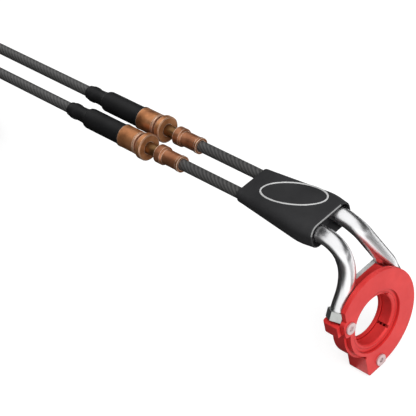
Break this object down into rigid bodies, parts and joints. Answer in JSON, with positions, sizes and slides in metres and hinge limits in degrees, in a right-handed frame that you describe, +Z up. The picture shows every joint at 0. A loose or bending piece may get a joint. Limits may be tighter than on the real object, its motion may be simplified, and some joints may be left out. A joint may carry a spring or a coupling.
{
  "type": "motorcycle twist throttle housing with push-pull cables",
  "caption": "Red twist-throttle housing for a 22 mm handlebar with two chrome goosenecks, a rubber boot and twin control cables with in-line copper adjusters.",
  "frame": {"origin": "centre of the handlebar bore, in the middle of the clamp wall", "axes": "+X along the handlebar towards the grip, +Z up, front cable on the -Y side; the cables run along -X"},
  "size_m": [0.4123, 0.0464, 0.081],
  "materials": {
    "red_anodised": "satin red anodised",
    "screw_steel": "satin",
    "chrome_tube": "mirror polished",
    "nut_steel": "satin zinc",
    "boot_rubber": "matte moulded",
    "sleeve_rubber": "matte moulded",
    "casing_plastic": "matte extruded",
    "copper_plate": "worn copper plate",
    "neck_brass": "plain brass",
    "wire_steel": "twisted steel",
    "tie_plastic": "matte"
  },
  "bodies": {
    "housing": {"housing_body": "red_anodised", "front_cover": "red_anodised", "cover_screws": "screw_steel", "front_tube": "chrome_tube", "rear_tube": "chrome_tube", "front_tube_nut": "nut_steel", "rear_tube_nut": "nut_steel", "tube_bridge": "nut_steel", "cable_boot": "boot_rubber", "coil_tie": "tie_plastic", "front_upper_casing": "casing_plastic", "front_adjuster_ferrule": "copper_plate", "front_adjuster_screw": "neck_brass", "front_adjuster_barrel": "copper_plate", "front_lower_casing": "casing_plastic", "front_cable_coil": "casing_plastic", "front_end_fitting": "nut_steel", "rear_upper_casing": "casing_plastic", "rear_adjuster_ferrule": "copper_plate", "rear_adjuster_screw": "neck_brass", "rear_adjuster_barrel": "copper_plate", "rear_lower_casing": "casing_plastic", "rear_cable_coil": "casing_plastic", "rear_end_fitting": "nut_steel"},
    "reel": {"throttle_reel": "red_anodised", "front_reel_wire": "wire_steel", "rear_reel_wire": "wire_steel", "front_reel_nipple": "neck_brass", "rear_reel_nipple": "neck_brass"},
    "front_pull": {"front_tail_wire": "wire_steel", "front_end_nipple": "neck_brass"},
    "front_washer": {"front_lock_washer": "copper_plate"},
    "front_nut": {"front_lock_nut": "copper_plate"},
    "front_sleeve": {"front_dust_sleeve": "sleeve_rubber"},
    "rear_pull": {"rear_tail_wire": "wire_steel", "rear_end_nipple": "neck_brass"},
    "rear_washer": {"rear_lock_washer": "copper_plate"},
    "rear_nut": {"rear_lock_nut": "copper_plate"},
    "rear_sleeve": {"rear_dust_sleeve": "sleeve_rubber"}
  },
  "joints": [
    {"name": "reel_turn", "type": "hinge", "parent": "housing", "child": "reel", "pos_m": [0.003, 0, 0], "axis": [1, 0, 0], "range_deg": [0, 80]},
    {"name": "front_wire_travel", "type": "slide", "parent": "housing", "child": "front_pull", "axis": [1, 0, 0], "range_m": [0, 0.01884]},
    {"name": "front_lock_travel", "type": "slide", "parent": "housing", "child": "front_washer", "axis": [1, 0, 0], "range_m": [0, 0.004]},
    {"name": "front_lock_nut_spin", "type": "hinge", "parent": "front_washer", "child": "front_nut", "pos_m": [-0.1189, -0.007, 0.0483], "axis": [1, 0, 0], "range_deg": [0, 1440]},
    {"name": "front_sleeve_slide", "type": "slide", "parent": "housing", "child": "front_sleeve", "axis": [-1, 0, 0], "range_m": [0, 0.025]},
    {"name": "rear_wire_travel", "type": "slide", "parent": "housing", "child": "rear_pull", "axis": [-1, 0, 0], "range_m": [0, 0.01884]},
    {"name": "rear_lock_travel", "type": "slide", "parent": "housing", "child": "rear_washer", "axis": [1, 0, 0], "range_m": [0, 0.004]},
    {"name": "rear_lock_nut_spin", "type": "hinge", "parent": "rear_washer", "child": "rear_nut", "pos_m": [-0.1209, 0.007, 0.0483], "axis": [1, 0, 0], "range_deg": [0, 1440]},
    {"name": "rear_sleeve_slide", "type": "slide", "parent": "housing", "child": "rear_sleeve", "axis": [-1, 0, 0], "range_m": [0, 0.025]}
  ],
  "couplings": [
    {"joint": "reel_turn", "follows": "front_wire_travel", "rad_per_m": 74.074},
    {"joint": "front_lock_nut_spin", "follows": "front_lock_travel", "rad_per_m": 6283.2},
    {"joint": "rear_wire_travel", "follows": "front_wire_travel", "ratio": 1},
    {"joint": "rear_lock_nut_spin", "follows": "rear_lock_travel", "rad_per_m": 6283.2}
  ]
}
